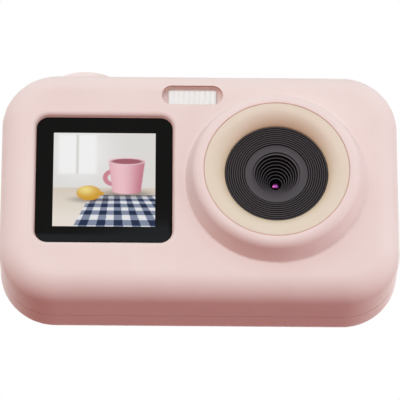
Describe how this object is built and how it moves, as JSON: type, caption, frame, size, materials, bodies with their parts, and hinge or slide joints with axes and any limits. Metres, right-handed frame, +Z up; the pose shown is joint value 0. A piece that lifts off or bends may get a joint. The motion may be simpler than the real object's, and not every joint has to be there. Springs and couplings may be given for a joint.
{
  "type": "kids digital camera",
  "caption": "Pillow-shaped kids pocket camera with a raised round lens collar, a square front screen, a ribbed flash, a top shutter button, rear keys and screen, and a hinged side port cover.",
  "frame": {"origin": "middle of the bounding box, on the plane of the flat base", "axes": "+X to the viewer's right when facing the lens, -Y out of the lens, +Z up"},
  "size_m": [0.0914, 0.0298, 0.0578],
  "materials": {
    "pink_plastic": "fine matte soft-touch",
    "key_plastic": "matte",
    "beige_plastic": "satin",
    "black_plastic": "matte, finely turned",
    "lens_glass": "coated, polished",
    "screen_glass": "polished with a printed border",
    "display_cell": "smooth",
    "white_plastic": "smooth",
    "diffuser_plastic": "ribbed, translucent",
    "lamp": "clear resin",
    "circuit_board": "solder mask",
    "flex_film": "film",
    "steel": "plain",
    "chip_resin": "moulded",
    "foil": "pouch foil",
    "foam": "open cell"
  },
  "bodies": {
    "case": {"front_shell": "pink_plastic", "rear_shell": "pink_plastic", "case_screws": "steel", "lens_ring": "beige_plastic", "lens_hood": "black_plastic", "lens_barrel": "black_plastic", "front_lens": "lens_glass", "rear_lens": "lens_glass", "lens_bracket": "black_plastic", "bracket_screws": "steel", "infrared_filter": "lens_glass", "image_sensor": "chip_resin", "sensor_board": "circuit_board", "sensor_connector": "white_plastic", "flash_diffuser": "diffuser_plastic", "flash_lamps": "lamp", "flash_board": "circuit_board", "flash_screws": "steel", "front_glass": "screen_glass", "front_panel": "display_cell", "front_backlight": "white_plastic", "front_flex": "flex_film", "rear_glass": "screen_glass", "rear_panel": "display_cell", "rear_backlight": "white_plastic", "rear_flex": "flex_film", "shutter_switch": "black_plastic", "shutter_board": "circuit_board", "key_switches": "black_plastic", "key_board": "circuit_board", "key_screws": "steel", "key_flex": "flex_film", "main_board": "circuit_board", "processor": "chip_resin", "memory_chip": "chip_resin", "board_screws": "steel", "battery": "foil", "battery_pad": "foam", "battery_connector": "white_plastic", "speaker": "black_plastic", "microphone": "steel", "light_pipe": "diffuser_plastic", "status_lamp": "lamp", "usb_shell": "steel", "usb_tongue": "black_plastic", "card_socket": "steel", "memory_card": "black_plastic", "cover_pin": "steel"},
    "shutter": {"shutter_button": "key_plastic"},
    "power_key": {"power_button": "key_plastic"},
    "up_key": {"up_button": "key_plastic"},
    "down_key": {"down_button": "key_plastic"},
    "left_key": {"left_button": "key_plastic"},
    "right_key": {"right_button": "key_plastic"},
    "ok_key": {"ok_button": "key_plastic"},
    "cover": {"port_cover": "pink_plastic"}
  },
  "joints": [
    {"name": "shutter_press", "type": "slide", "parent": "case", "child": "shutter", "axis": [0, 0, -1], "range_m": [0, 0.0006], "stiffness_N_per_m": 1500},
    {"name": "power_press", "type": "slide", "parent": "case", "child": "power_key", "axis": [0, -1, 0], "range_m": [0, 0.0003], "stiffness_N_per_m": 2500},
    {"name": "up_press", "type": "slide", "parent": "case", "child": "up_key", "axis": [0, -1, 0], "range_m": [0, 0.0003], "stiffness_N_per_m": 2500},
    {"name": "down_press", "type": "slide", "parent": "case", "child": "down_key", "axis": [0, -1, 0], "range_m": [0, 0.0003], "stiffness_N_per_m": 2500},
    {"name": "left_press", "type": "slide", "parent": "case", "child": "left_key", "axis": [0, -1, 0], "range_m": [0, 0.0003], "stiffness_N_per_m": 2500},
    {"name": "right_press", "type": "slide", "parent": "case", "child": "right_key", "axis": [0, -1, 0], "range_m": [0, 0.0003], "stiffness_N_per_m": 2500},
    {"name": "ok_press", "type": "slide", "parent": "case", "child": "ok_key", "axis": [0, -1, 0], "range_m": [0, 0.0003], "stiffness_N_per_m": 2500},
    {"name": "cover_hinge", "type": "hinge", "parent": "case", "child": "cover", "pos_m": [0.0447, 0.00694, 0.035], "axis": [0, 0, 1], "range_deg": [0, 90]}
  ]
}
